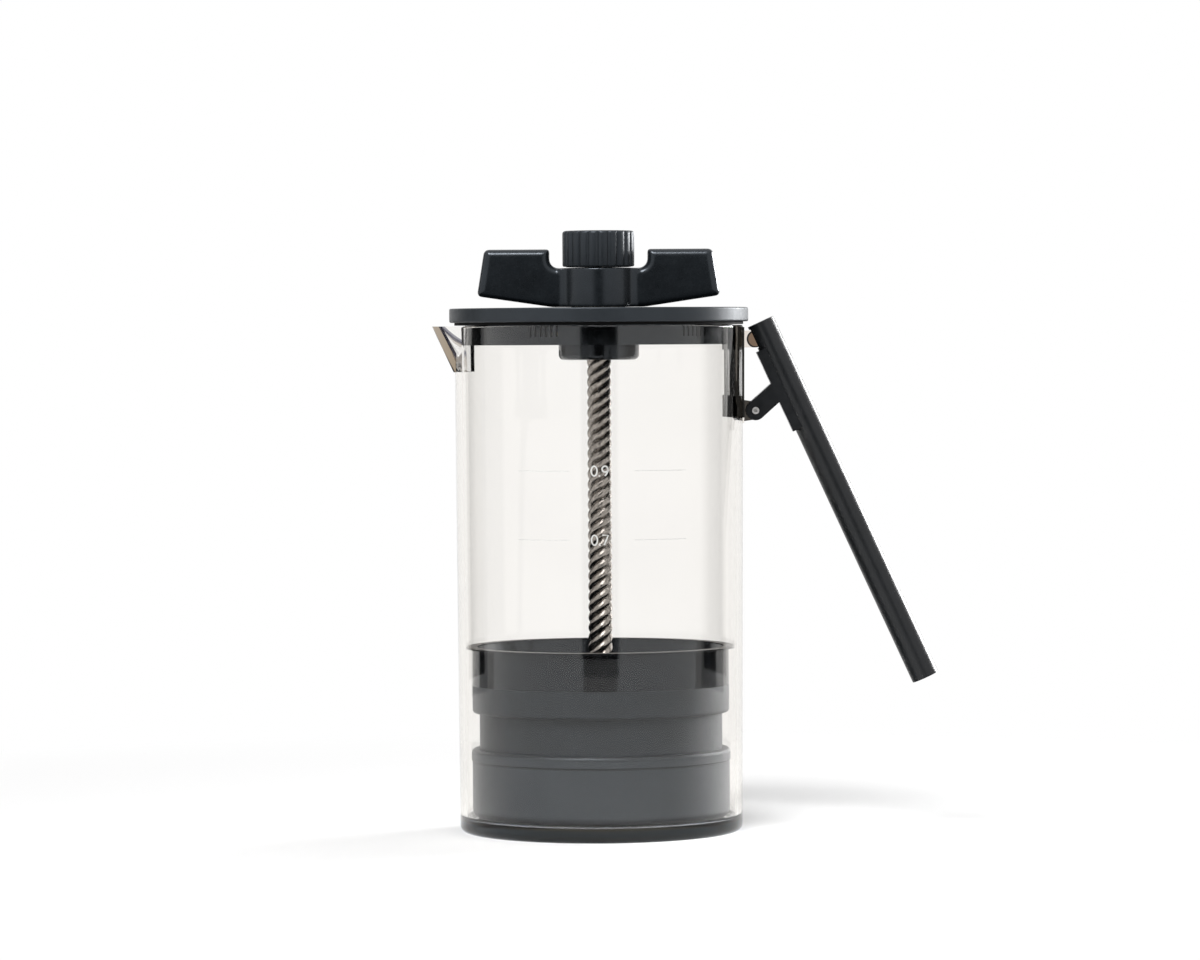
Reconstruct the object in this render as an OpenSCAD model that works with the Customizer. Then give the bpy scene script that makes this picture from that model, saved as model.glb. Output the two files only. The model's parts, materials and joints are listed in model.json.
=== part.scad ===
// Screw-lifted vacuum press: clear carafe, lid with a wing handle, plunger on a lead screw, folding handle.
// Origin: centre of the carafe's underside. +Z is up, +X points to the rod handle, -Y is the front.

/* [Carafe] */
// Outer radius of the carafe where it stands
carafe_base_r = 52; // [46:0.5:60]
// Extra outer radius at the rim
carafe_flare = 1.05; // [0.2:0.05:3]
// Height of the rim
carafe_h = 185.7; // [170:0.1:220]
// Wall of the carafe
carafe_wall = 2.6; // [2:0.1:3.5]
// Thickness of the floor
carafe_floor = 5.2; // [3:0.1:8]
// Radius of the outer bottom edge
carafe_corner_r = 2.5; // [1:0.1:4]

/* [Spout] */
// Reach of the lip from the axis, beyond the rim
spout_reach = 8; // [5:0.1:12]
// Depth of the spout below the rim
spout_depth = 16.7; // [10:0.1:24]
// Width of the spout where it leaves the wall
spout_w = 39; // [28:0.5:46]
// Width of the lip
spout_lip_w = 20; // [12:0.5:26]
// Corner radius of the lip
spout_corner_r = 4; // [1:0.1:5]
// Wall of the spout
spout_wall = 2.4; // [1.6:0.1:3]

/* [Hinge lug] */
// Distance of the hinge pin from the carafe's wall
pin_out = 4.5; // [4.4:0.05:8]
// Depth of the hinge pin below the rim
pin_drop = 31.45; // [26:0.05:40]
// Diameter of the hinge pin
pin_d = 2.6; // [2:0.1:3.4]
// Thickness of the lug's fins
lug_t = 4; // [3:0.1:4.6]
// Width of the pad that carries the fins
pad_w = 10; // [6:0.5:16]
// How far the pad stands proud of the wall
pad_out = 0.5; // [0.2:0.05:0.6]
// Distance of the stop boss from the wall
boss_out = 4.6; // [4:0.1:7]
// Depth of the stop boss below the rim
boss_drop = 5.2; // [4:0.1:8]
// Radius of the stop boss
boss_r = 3.1; // [2.4:0.1:3.6]

/* [Rod handle] */
// Outer diameter of the tube
rod_d = 10.2; // [9.6:0.1:14]
// Wall of the tube
rod_wall = 1.5; // [1:0.1:2.2]
// Length of the tube
rod_len = 144.1; // [110:0.1:155]
// Lean of the tube from upright
rod_tilt = 24.65; // [18:0.05:32]
// Distance of the tube's axis from the hinge pin
rod_offset = 15.46; // [14:0.02:22]
// Length of the tube above the hinge pin
rod_above = 28.8; // [27:0.1:34]
// Length of the plugs in the tube's ends
plug_len = 12; // [8:0.5:20]
// Half width of the arm, seen from the side
arm_r = 3.55; // [3:0.05:3.6]
// Width of the arm across both cheeks
arm_w = 9; // [8:0.1:9.4]
// Slope of the arm above the tube's square
arm_slope = 17.3; // [8:0.1:24]
// Length of the saddle along the tube
saddle_len = 32; // [26:0.5:50]
// How far the saddle stands proud of the tube
saddle_t = 1.1; // [0.8:0.1:2]

/* [Lid] */
// Overhang of the lid beyond the rim
lid_overhang = 1.85; // [0.5:0.05:5]
// Thickness of the lid's cover
lid_t = 5.2; // [4:0.1:8]
// Radius of the cover's edges
lid_edge_r = 0.6; // [0.2:0.1:1.5]
// Thickness of the gasket
gasket_t = 1; // [0.6:0.1:2]
// Depth of the skirt below the cover
skirt_depth = 8.25; // [7:0.05:14]
// Wall and floor of the skirt
skirt_wall = 1.8; // [1.2:0.1:2.4]
// Gap between skirt and carafe
skirt_gap = 1.2; // [0.5:0.1:3]
// Width of one vent slot
vent_w = 0.75; // [0.5:0.05:1.2]
// Height of the vent slots
vent_h = 4; // [2:0.1:5]
// Spacing of the vent slots
vent_pitch = 2; // [1.5:0.1:3]
// Vent slots in a group
vent_count = 6; // [3:1:9]
// Outer radius of the collar under the lid
collar_r = 14.8; // [14:0.1:18]
// Depth of the collar below the skirt
collar_drop = 5.55; // [4:0.05:9]
// Radius of the collar's lower edge
collar_edge_r = 2; // [0.5:0.1:2.2]
// Radius of the circle of lid screws
lid_screw_circle = 34; // [28:0.5:40]
// Diameter of the lid screws
lid_screw_d = 2.5; // [2:0.1:3]

/* [Wing handle] */
// Tip to tip width at the lower corners
wing_span = 89.3; // [70:0.1:104]
// Inward lean of each tip, from lower to upper corner
wing_lean = 2.75; // [0:0.05:6]
// Thickness of the wings
wing_t = 9; // [6:0.1:14]
// Height from the hub's underside to the wings' top
wing_h = 21.2; // [17:0.1:28]
// Rise of the lower edge at the tips
wing_rise = 4.1; // [0:0.1:8]
// Radius of the wings' edges
wing_edge_r = 1.7; // [0.8:0.1:2.8]
// Radius of the hub
hub_r = 12.9; // [11.5:0.1:16]
// Height of the hub
hub_h = 14.3; // [11:0.1:16]
// Gap between knob and wings
knob_side_gap = 4.8; // [2:0.1:8]
// Fillet at the foot of the wings
notch_r = 3.3; // [1:0.1:4]
// Radius of the spindle below the hub
spindle_r = 9; // [8:0.1:10]
// Length of the drive nut
nut_len = 22; // [16:0.5:24]

/* [Knob] */
// Radius of the knob over its ribs
knob_r = 13.2; // [11.5:0.1:16]
// Height of the knob
knob_h = 13.1; // [11:0.1:18]
// Flutes round the knob
flutes = 22; // [12:1:36]
// Depth of a flute
flute_depth = 0.6; // [0.3:0.05:1]
// Radius of the cutter of a flute
flute_r = 1.3; // [1.1:0.1:2]

/* [Lead screw] */
// Outer radius of the thread
screw_r = 4.45; // [4.2:0.05:5]
// Depth of the thread
thread_depth = 0.7; // [0.4:0.05:1]
// Starts of the thread
thread_starts = 4; // [2:1:6]
// Rise of the thread in one turn
thread_lead = 15; // [8:0.5:24]
// Radius of the plain ends of the screw
journal_r = 3; // [2.5:0.1:3.2]

/* [Plunger] */
// Gap between the lower cup and the carafe's wall, at the floor
cup_side_gap = 2.1; // [1.5:0.1:4]
// Height of the lower cup
cup_h = 25.2; // [20:0.1:34]
// Wall of the lower cup
cup_wall = 2.55; // [2:0.05:3.5]
// Radius of the lower cup's bottom edge
cup_edge_r = 3.2; // [1:0.1:4]
// Height of the band at the lower cup's mouth
cup_band_h = 4; // [2:0.1:6]
// Radius of the lower cup's top edge
cup_lip_r = 1.2; // [0.4:0.1:2]
// Height of the neck that shows above the lower cup
neck_h = 13.3; // [8:0.1:20]
// Length of the neck inside the lower cup
neck_in = 12; // [9:0.5:14]
// Wall of the neck
neck_wall = 2.4; // [2:0.1:3]
// Height of the upper ring
ring_h = 24.2; // [20:0.1:34]
// Radius of the upper ring's bottom edge
ring_edge_r = 1.2; // [0.4:0.1:1.6]
// Width of the flat rim inside the seal band
mouth_land = 0.6; // [0.4:0.1:1.6]
// Depth of the slope inside the rim
mouth_drop = 8; // [4:0.5:10]
// Height of the seal band
seal_h = 14.1; // [8:0.1:18]
// Thickness of the seal band
seal_t = 1.2; // [0.8:0.1:1.6]
// Thickness of the seal's lip
seal_lip_t = 0.5; // [0.4:0.1:1.2]
// Arms of the spider that carries the screw
spider_arms = 3; // [3:1:6]
// Width of a spider arm
spider_arm_w = 7; // [4:0.5:10]
// Thickness of the spider
spider_t = 3.5; // [2:0.1:5]
// Radius of one hole in the filter disc
mesh_hole_r = 1; // [0.6:0.1:1.4]
// Rings of holes in the filter disc
mesh_rings = 5; // [3:1:7]

/* [Clearances] */
// Gap where one piece rests over another that it lifts off
rest_gap = 0.3; // [0.2:0.05:0.5]
// Running clearance of turning pieces, on the radius
run_gap = 0.05; // [0.02:0.01:0.1]
// Play between flat faces that turn on each other
slip_gap = 0.1; // [0.05:0.05:0.3]
// Clearance of the thread in its nut
thread_gap = 0.3; // [0.25:0.05:0.4]
// Play beside pieces that swing past each other
side_gap = 0.4; // [0.3:0.05:0.6]
// Clearance of pieces that are fixed in each other
seat_gap = 0.03; // [0.01:0.01:0.05]

/* [Hidden] */
$fn = 96;
small_fn = 32;
cut = 1;
black = [0.13, 0.14, 0.15];
soft_black = [0.20, 0.21, 0.22];
smoke = [0.62, 0.57, 0.52, 0.45];
steel = [0.58, 0.55, 0.52];
brass = [0.72, 0.58, 0.32];

// Carafe radii and heights
carafe_rim_r = carafe_base_r + carafe_flare;
function carafe_r(z) = carafe_base_r + carafe_flare * z / carafe_h;
function bore_r(z) = carafe_r(z) - carafe_wall;
lip_x = carafe_rim_r + spout_reach;
spout_z0 = carafe_h - spout_depth;
spout_x0 = carafe_r(spout_z0);
spout_shift = spout_wall / cos(atan((lip_x - spout_x0) / spout_depth));

// Hinge and stop
pin_z = carafe_h - pin_drop;
pin_x = carafe_r(pin_z) + pin_out;
pin_r = pin_d / 2;
boss_z = carafe_h - boss_drop;
boss_x = carafe_r(boss_z) + boss_out;
ear_r = arm_r - 0.25;
ear_root = ear_r + 0.8;
pad_low = pin_z - ear_root - 0.4;
slot_r = boss_r + side_gap;
slot_w = lug_t + 2 * rest_gap;
slot_turn = 4.5;
slot_dir = atan2(boss_z - pin_z, boss_x - pin_x) + 90 + slot_turn;

// Rod handle, from the hinge pin, along the tube
rod_r = rod_d / 2;
rod_low = rod_above - rod_len;
arm_reach = rod_offset / cos(arm_slope);
saddle_up = (rod_offset - rod_r) * tan(arm_slope);
washer_in = lug_t / 2 + run_gap;
washer_t = 0.4;
cheek_in = washer_in + washer_t;
arm_screw_d = 2.4;
arm_screw_pitch = saddle_len - 9;
arm_screw_head_r = 2;
arm_screw_head_h = saddle_t - 0.3;
arm_screw_depth = rod_wall + 2;

// Lid stack
gasket_z = carafe_h + rest_gap;
lid_z0 = gasket_z + gasket_t;
lid_z1 = lid_z0 + lid_t;
lid_r = carafe_rim_r + lid_overhang;
skirt_r = bore_r(carafe_h - skirt_depth) - skirt_gap;
skirt_z0 = lid_z0 - skirt_depth;
skirt_z1 = skirt_z0 + skirt_wall;
collar_z0 = skirt_z0 - collar_drop;
flange_t = 1.5;
flange_r = collar_r + 2.6;
collar_z1 = skirt_z1 + flange_t;
bush_wall = 2.5;
bush_r = spindle_r + run_gap + bush_wall;
bush_z0 = collar_z1;
bush_flange_z1 = bush_z0 + flange_t;
collar_floor = 2;
collar_bore_r = collar_r - 2.6;
screw_hole_r = screw_r + side_gap;
vent_angles = [-23.4, 43.5, 156.6, 223.5];
lid_screw_angles = [10, 100, 190, 280];
lid_post_r = lid_screw_d / 2 + 2.2;
lid_screw_head_r = lid_screw_d;
lid_screw_web = 0.6;
lid_screw_head_h = skirt_wall - lid_screw_web;
thrust_t = 0.3;
thrust_r = spindle_r + 2;

// Wing handle stack
wing_z0 = lid_z1 + thrust_t + slip_gap;
hub_z1 = wing_z0 + hub_h;
wing_z1 = wing_z0 + wing_h;
notch_x = knob_r + knob_side_gap;
ring_clip_t = 1.2;
ring_clip_z1 = bush_z0 - slip_gap * 2;
ring_clip_z0 = ring_clip_z1 - ring_clip_t;
ring_groove_r = spindle_r - 1;
ring_clip_r = spindle_r + 1.8;
spindle_z0 = collar_z0 + collar_floor + side_gap;
nut_r = spindle_r - 2;
nut_z1 = spindle_z0 + nut_len;

// Knob and screw ends
knob_boss_h = 0.2;
knob_boss_r = min(hub_r, knob_r) - 1;
knob_boss_z0 = hub_z1 + rest_gap;
knob_z0 = knob_boss_z0 + knob_boss_h;
knob_z1 = knob_z0 + knob_h;
knob_bush_r = journal_r + run_gap + 1.6;
knob_bush_z0 = knob_z0 + 0.6;
knob_bush_z1 = knob_z1 - 5.6;
clip_t = 0.7;
clip_z0 = knob_bush_z1 + slip_gap * 2;
clip_r = journal_r + 1.6;
clip_groove_r = journal_r - 0.5;
clip_room_r = clip_r + 1;
cap_r = knob_r - 3.4;
cap_t = 1.6;
cap_z0 = knob_z1 - cap_t;
screw_top = cap_z0 - 0.6;
thread_z1 = knob_bush_z0 - slip_gap;

// Plunger stack
cup_z0 = carafe_floor + side_gap;
cup_z1 = cup_z0 + cup_h;
cup_r = bore_r(0) - cup_side_gap;
cup_bore_r = cup_r - cup_wall;
neck_r = cup_bore_r - 0.15;
neck_z0 = cup_z1 - neck_in;
ring_z0 = cup_z1 + neck_h;
ring_z1 = ring_z0 + ring_h;
ring_r = cup_r - 0.1;
seal_z0 = ring_z1 - seal_h;
seal_seat_r = ring_r - seal_t;
seal_lip_r = bore_r(ring_z1) - rest_gap;
rim_z = ring_z1 - seal_lip_t;
brew_r = seal_seat_r - 2.4;
mouth_r = seal_seat_r - mouth_land;
neck_bore_r = neck_r - neck_wall;
cord_r = 0.9;
cord_z = neck_z0 + 4;
cord_seat_r = cup_bore_r - seat_gap - 2 * cord_r;
spider_z0 = neck_z0 + 8;
spider_z1 = spider_z0 + spider_t;
spider_hub_r = journal_r + 6;
spider_hub_z1 = spider_z1 + 4;
foot_nut_t = 4;
foot_nut_r = journal_r * 1.9;
cup_floor_t = 2.2;
cup_floor_z1 = cup_z0 + cup_floor_t;
cup_open_r = cup_bore_r - 8;
mesh_t = 0.5;
mesh_r = cup_bore_r - 0.5;
clamp_t = 2;

// Thread mesh, in points for a start and slices for a turn
thread_points = 6;
thread_slices = 14;
thread_sides = thread_starts * thread_points;

// Shared shapes

// Plate in the XZ plane, centred on Y
module xz_plate(t) {
  rotate([90, 0, 0]) linear_extrude(height = t, center = true) children();
}

// Tube or ring between two heights
module ring(r_out, r_in, z0, z1) {
  difference() {
    translate([0, 0, z0]) cylinder(r = r_out, h = z1 - z0);
    translate([0, 0, z0 - cut]) cylinder(r = r_in, h = z1 - z0 + 2 * cut);
  }
}

// Points of a quarter round, about a centre, from one angle to another
function arc(x, y, r, a0, a1, steps = 8) =
  [for (i = [0 : steps]) let(a = a0 + (a1 - a0) * i / steps) [x + r * cos(a), y + r * sin(a)]];

// Places its children in the handle's frame: the pin at the origin, the tube along Z
module on_handle() {
  translate([pin_x, 0, pin_z]) rotate([0, -rod_tilt, 0]) children();
}

// Places its children at the tube's axis, at the middle of the saddle
module on_saddle() {
  on_handle() translate([rod_offset, 0, saddle_up]) children();
}

// Room that the stop boss needs in the tube, from rest until the tube has swung clear
module boss_room() {
  translate([boss_x, 0, boss_z]) {
    xz_plate(slot_w) circle(r = slot_r);
    rotate([0, -slot_dir, 0])
      translate([0, -slot_w / 2, -slot_r])
        cube([2 * rod_d, slot_w, 2 * slot_r]);
  }
}

// Section of a multi-start thread with rounded ridges
module thread_section(r) {
  polygon([
    for (i = [0 : thread_sides - 1])
      let(a = 360 * i / thread_sides, rr = r - thread_depth * (1 - abs(cos(a * thread_starts / 2))))
      [rr * cos(a), rr * sin(a)]
  ]);
}

// Right-hand thread between two heights, in step with every other one on the axis
module thread(r, z0, z1) {
  turns = (z1 - z0) / thread_lead;
  translate([0, 0, z0])
    rotate([0, 0, 360 * z0 / thread_lead])
      linear_extrude(
        height = z1 - z0,
        twist = -360 * turns,
        slices = ceil(turns * thread_slices),
        $fn = thread_sides
      )
        thread_section(r);
}

// Carafe

// Plan of the spout, drawn in by an inset
module spout_plan(inset) {
  wall_w = spout_w / 2 - inset;
  lip_w = spout_lip_w / 2 - inset;
  corner = max(spout_corner_r - inset, 0.5);
  side = atan2(wall_w - lip_w, lip_x - carafe_rim_r / 2);
  tip = lip_x - inset;
  polygon(concat(
    [[-carafe_rim_r / 2, -wall_w], [-carafe_rim_r / 2, wall_w], [-carafe_rim_r * 0.9, wall_w]],
    arc(-tip + corner, lip_w - corner, corner, 90 + side, 180),
    arc(-tip + corner, corner - lip_w, corner, 180, 270 - side),
    [[-carafe_rim_r * 0.9, -wall_w]]
  ));
}

// Body of the spout: its plan, cut by its slanted bottom
module spout(inset, shift, top) {
  slope = (lip_x - spout_x0) / spout_depth;
  intersection() {
    translate([0, 0, spout_z0 - cut]) linear_extrude(height = top - spout_z0 + cut) spout_plan(inset);
    xz_plate(2 * spout_w)
      polygon([
        [shift - spout_x0, spout_z0],
        [shift - spout_x0 - slope * (top - spout_z0), top],
        [-carafe_rim_r / 2, top],
        [-carafe_rim_r / 2, spout_z0]
      ]);
  }
}

// Pad, hinge ear and stop boss on the handle's side
module lug() {
  root = carafe_r(pin_z) - carafe_wall / 2;
  intersection() {
    cylinder(r1 = carafe_base_r + pad_out, r2 = carafe_rim_r + pad_out, h = carafe_h);
    translate([0, -pad_w / 2, pad_low]) cube([2 * carafe_rim_r, pad_w, carafe_h - pad_low]);
  }
  xz_plate(lug_t) {
    translate([pin_x, pin_z]) circle(r = ear_r);
    polygon([[root, pin_z - ear_root], [pin_x, pin_z - ear_r], [pin_x, pin_z + ear_r], [root, pin_z + ear_root]]);
    translate([boss_x, boss_z]) circle(r = boss_r);
    polygon([
      [root, boss_z - boss_r],
      [boss_x, boss_z - boss_r * 0.7],
      [boss_x, boss_z + boss_r * 0.7],
      [root, boss_z + boss_r]
    ]);
  }
}

module carafe() {
  color(smoke)
    difference() {
      union() {
        rotate_extrude()
          polygon(concat(
            [[0, 0]],
            arc(carafe_base_r - carafe_corner_r, carafe_corner_r, carafe_corner_r, -90, 0),
            [[carafe_rim_r, carafe_h], [0, carafe_h]]
          ));
        spout(0, 0, carafe_h);
        lug();
      }
      rotate_extrude()
        polygon([
          [0, carafe_floor],
          [bore_r(carafe_floor), carafe_floor],
          [bore_r(carafe_h + cut), carafe_h + cut],
          [0, carafe_h + cut]
        ]);
      spout(spout_wall, spout_shift, carafe_h + cut);
      translate([pin_x, 0, pin_z])
        rotate([90, 0, 0])
          cylinder(r = pin_r + run_gap, h = 4 * lug_t, center = true);
    }
}

// Rod handle

module arm_screw_places() {
  for (side = [-1, 1])
    translate([0, 0, side * arm_screw_pitch / 2]) rotate([0, -90, 0]) children();
}

module handle_rod() {
  color(black)
    difference() {
      on_handle() translate([rod_offset, 0, rod_low]) cylinder(r = rod_r, h = rod_len);
      on_handle()
        translate([rod_offset, 0, rod_low - cut])
          cylinder(r = rod_r - rod_wall, h = rod_len + 2 * cut);
      on_saddle() arm_screw_places() cylinder(r = arm_screw_d / 2 + seat_gap, h = rod_d);
      boss_room();
    }
}

// Plug of the tube's end
module plug() {
  cylinder(r = rod_r - rod_wall - seat_gap, h = plug_len);
}

module handle_top_cap() {
  color(soft_black)
    difference() {
      on_handle() translate([rod_offset, 0, rod_above - plug_len]) plug();
      boss_room();
    }
}

module handle_bottom_cap() {
  color(soft_black) on_handle() translate([rod_offset, 0, rod_low]) plug();
}

module handle_arm() {
  saddle_x = rod_r + saddle_t;
  bridge_x = ear_r + side_gap;
  color(black)
    difference() {
      union() {
        on_handle()
          rotate([0, -arm_slope, 0])
            for (side = [-1, 1])
              translate([0, side * (arm_w / 2 + cheek_in) / 2, 0]) {
                xz_plate(arm_w / 2 - cheek_in) circle(r = arm_r);
                xz_plate(arm_w / 2 - cheek_in) translate([0, -arm_r]) square([arm_reach, 2 * arm_r]);
              }
        on_handle()
          rotate([0, -arm_slope, 0])
            translate([bridge_x, -arm_w / 2, -arm_r])
              cube([arm_reach - bridge_x, arm_w, 2 * arm_r]);
        on_saddle() translate([-saddle_x, -arm_w / 2, -saddle_len / 2]) cube([saddle_x, arm_w, saddle_len]);
      }
      on_handle() translate([rod_offset, 0, -2 * rod_len]) cylinder(r = rod_r + seat_gap, h = 4 * rod_len);
      on_saddle() translate([-rod_r / 2, -rod_d, -saddle_len]) cube([2 * rod_d, 2 * rod_d, 2 * saddle_len]);
      on_saddle()
        arm_screw_places() {
          cylinder(r = arm_screw_d / 2 + seat_gap, h = 2 * rod_d);
          translate([0, 0, saddle_x - arm_screw_head_h]) cylinder(r = arm_screw_head_r + seat_gap, h = rod_d);
        }
      translate([pin_x, 0, pin_z])
        rotate([90, 0, 0])
          cylinder(r = pin_r + seat_gap, h = 2 * arm_w, center = true);
    }
}

module arm_screws() {
  color(steel)
    on_saddle()
      arm_screw_places() {
        translate([0, 0, rod_r + saddle_t - arm_screw_head_h])
          cylinder(r = arm_screw_head_r, h = arm_screw_head_h);
        translate([0, 0, rod_r - arm_screw_depth]) cylinder(r = arm_screw_d / 2, h = arm_screw_depth + saddle_t);
      }
}

module hinge_pin() {
  recess_r = pin_r / 2;
  color(steel)
    translate([pin_x, 0, pin_z])
      rotate([90, 0, 0])
        difference() {
          cylinder(r = pin_r, h = arm_w + 0.4, center = true);
          for (side = [-1, 1])
            translate([0, 0, side * arm_w / 2]) cylinder(r = recess_r, h = 1.6, center = true);
        }
}

module hinge_washers() {
  color(steel)
    translate([pin_x, 0, pin_z])
      for (side = [-1, 1])
        rotate([90 * side, 0, 0]) ring(ear_r, pin_r + seat_gap, washer_in, washer_in + washer_t - seat_gap);
}

// Lid

module lid_screw_places() {
  for (a = lid_screw_angles) rotate([0, 0, a]) translate([lid_screw_circle, 0, 0]) children();
}

module lid_cover() {
  e = lid_edge_r;
  color(black)
    difference() {
      union() {
        rotate_extrude()
          polygon(concat(
            [[0, lid_z0]],
            arc(lid_r - e, lid_z0 + e, e, -90, 0),
            arc(lid_r - e, lid_z1 - e, e, 0, 90),
            [[0, lid_z1]]
          ));
        translate([0, 0, bush_flange_z1]) cylinder(r = flange_r, h = lid_z0 - bush_flange_z1 + cut);
        lid_screw_places() translate([0, 0, skirt_z1]) cylinder(r = lid_post_r, h = lid_z0 - skirt_z1 + cut);
      }
      translate([0, 0, bush_z0]) cylinder(r = bush_r + seat_gap, h = lid_z1);
      lid_screw_places()
        translate([0, 0, skirt_z1 - cut])
          cylinder(r = lid_screw_d / 2 + seat_gap, h = lid_z0 - skirt_z1 + 2 * cut, $fn = small_fn);
    }
}

module lid_gasket() {
  color(soft_black) ring(carafe_rim_r, skirt_r + rest_gap, gasket_z, lid_z0);
}

module lid_skirt() {
  color(black)
    difference() {
      translate([0, 0, skirt_z0]) cylinder(r = skirt_r, h = skirt_depth);
      translate([0, 0, skirt_z1]) cylinder(r = skirt_r - skirt_wall, h = skirt_depth);
      translate([0, 0, skirt_z0 - cut]) cylinder(r = collar_r + seat_gap, h = skirt_depth);
      lid_screw_places()
        translate([0, 0, skirt_z0 - cut]) {
          cylinder(r = lid_screw_d / 2 + seat_gap, h = skirt_depth, $fn = small_fn);
          cylinder(r = lid_screw_head_r + seat_gap, h = lid_screw_head_h + cut);
        }
      for (a = vent_angles)
        for (i = [0 : vent_count - 1])
          rotate([0, 0, a - 90 + (i - (vent_count - 1) / 2) * vent_pitch / skirt_r * 180 / PI])
            translate([skirt_r - 2 * skirt_wall, -vent_w / 2, lid_z0 - rest_gap - gasket_t - vent_h])
              cube([4 * skirt_wall, vent_w, vent_h]);
    }
}

module lid_collar() {
  e = collar_edge_r;
  notch = 1.2;
  color(soft_black)
    difference() {
      rotate_extrude()
        polygon(concat(
          [[0, collar_z0]],
          arc(collar_r - e, collar_z0 + e, e, -90, 0),
          [[collar_r, skirt_z1], [flange_r, skirt_z1], [flange_r, collar_z1], [0, collar_z1]]
        ));
      translate([0, 0, collar_z0 + collar_floor]) cylinder(r = collar_bore_r, h = collar_z1);
      translate([0, 0, collar_z0 - cut]) cylinder(r = screw_hole_r, h = collar_drop);
      for (a = [0 : 90 : 270])
        rotate([0, 0, a + 12])
          translate([collar_r - notch, -notch, collar_z0 - cut])
            cube([2 * notch, 2 * notch, collar_drop - cut]);
    }
}

module lid_bush() {
  color(brass)
    difference() {
      union() {
        translate([0, 0, bush_z0]) cylinder(r = flange_r, h = flange_t);
        translate([0, 0, bush_z0]) cylinder(r = bush_r, h = lid_z1 - bush_z0);
      }
      translate([0, 0, bush_z0 - cut]) cylinder(r = spindle_r + run_gap, h = lid_z1);
    }
}

module lid_screws() {
  color(steel)
    lid_screw_places() {
      translate([0, 0, skirt_z0]) cylinder(r = lid_screw_head_r, h = lid_screw_head_h);
      translate([0, 0, skirt_z0 + lid_screw_head_h / 2])
        cylinder(r = lid_screw_d / 2, h = skirt_depth - lid_screw_head_h, $fn = small_fn);
    }
}

module thrust_washer() {
  color(steel) ring(thrust_r, spindle_r + rest_gap, lid_z1, lid_z1 + thrust_t);
}

// Wing handle

// One wing: rounded corners joined by a hull
module wing(side) {
  e = wing_edge_r;
  half = wing_span / 2;
  corners = [
    [notch_x + e, wing_z0 + e],
    [half - e, wing_z0 + wing_rise + e],
    [half - wing_lean - e, wing_z1 - e],
    [notch_x + e, wing_z1 - e]
  ];
  hull()
    for (p = corners)
      for (y = [e - wing_t / 2, wing_t / 2 - e])
        translate([side * p[0], y, p[1]]) sphere(r = e, $fn = small_fn);
}

// Low part between the wings, with their rounded lower edges and a fillet at the foot of each
module wing_web() {
  e = wing_edge_r;
  reach = notch_x + e - 0.2;
  half_t = wing_t / 2;
  translate([-reach, 0, wing_z0])
    rotate([90, 0, 90])
      linear_extrude(height = 2 * reach)
        polygon(concat(
          [[half_t, hub_h], [-half_t, hub_h]],
          arc(e - half_t, e, e, 180, 270),
          arc(half_t - e, e, e, 270, 360)
        ));
  for (side = [0, 1])
    xz_plate(wing_t)
      mirror([side, 0])
        difference() {
          translate([notch_x - notch_r, hub_z1 - e]) square([reach - notch_x + notch_r, notch_r + e]);
          translate([notch_x - notch_r, hub_z1 + notch_r]) circle(r = notch_r);
        }
}

module wing_handle() {
  color(black)
    difference() {
      union() {
        wing(-1);
        wing(1);
        wing_web();
        translate([0, 0, wing_z0]) cylinder(r = hub_r, h = hub_h);
        translate([0, 0, spindle_z0]) cylinder(r = spindle_r, h = hub_z1 - spindle_z0);
      }
      translate([0, 0, spindle_z0 - cut]) cylinder(r = nut_r, h = nut_len + cut);
      translate([0, 0, spindle_z0]) cylinder(r = screw_hole_r, h = carafe_h);
      ring(spindle_r + cut, ring_groove_r, ring_clip_z0 - slip_gap, ring_clip_z1 + slip_gap);
    }
}

module drive_nut() {
  color(brass)
    difference() {
      translate([0, 0, spindle_z0]) cylinder(r = nut_r - seat_gap, h = nut_len - seat_gap);
      thread(screw_r + thread_gap, spindle_z0 - cut, nut_z1 + cut);
    }
}

module retaining_ring() {
  color(steel)
    difference() {
      ring(ring_clip_r, ring_groove_r + seat_gap, ring_clip_z0, ring_clip_z1);
      translate([0, -spindle_r / 2, ring_clip_z0 - cut]) cube([2 * spindle_r, spindle_r, ring_clip_t + 2 * cut]);
    }
}

// Knob

module knob() {
  e = 0.8;
  color(black)
    difference() {
      rotate_extrude()
        polygon(concat(
          [[0, knob_boss_z0], [knob_boss_r, knob_boss_z0], [knob_boss_r, knob_z0]],
          [[knob_r - e / 2, knob_z0], [knob_r, knob_z0 + e / 2]],
          arc(knob_r - e, knob_z1 - e, e, 0, 90),
          [[0, knob_z1]]
        ));
      for (i = [0 : flutes - 1])
        rotate([0, 0, (i + 0.5) * 360 / flutes])
          translate([knob_r - flute_depth + flute_r, 0, knob_z0 + e])
            cylinder(r = flute_r, h = knob_h, $fn = small_fn);
      translate([0, 0, knob_z0 - cut]) cylinder(r = knob_bush_r + seat_gap, h = knob_h);
      translate([0, 0, knob_z0 - cut]) cylinder(r = screw_hole_r, h = knob_bush_z0 - knob_z0 + cut);
      translate([0, 0, knob_bush_z1]) cylinder(r = clip_room_r, h = knob_h);
      translate([0, 0, cap_z0]) cylinder(r = cap_r + seat_gap, h = knob_h);
    }
}

module knob_bush() {
  color(brass) ring(knob_bush_r, journal_r + run_gap, knob_bush_z0, knob_bush_z1);
}

module knob_clip() {
  color(steel)
    difference() {
      ring(clip_r, clip_groove_r + seat_gap, clip_z0, clip_z0 + clip_t);
      translate([0, -clip_groove_r / 2, clip_z0 - cut]) cube([2 * clip_r, clip_groove_r, clip_t + 2 * cut]);
    }
}

module knob_cap() {
  crown = 0.25;
  color(soft_black)
    rotate_extrude()
      polygon([
        [0, cap_z0],
        [cap_r, cap_z0],
        [cap_r, knob_z1 - crown],
        [cap_r - crown, knob_z1],
        [0, knob_z1]
      ]);
}

// Plunger

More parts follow.
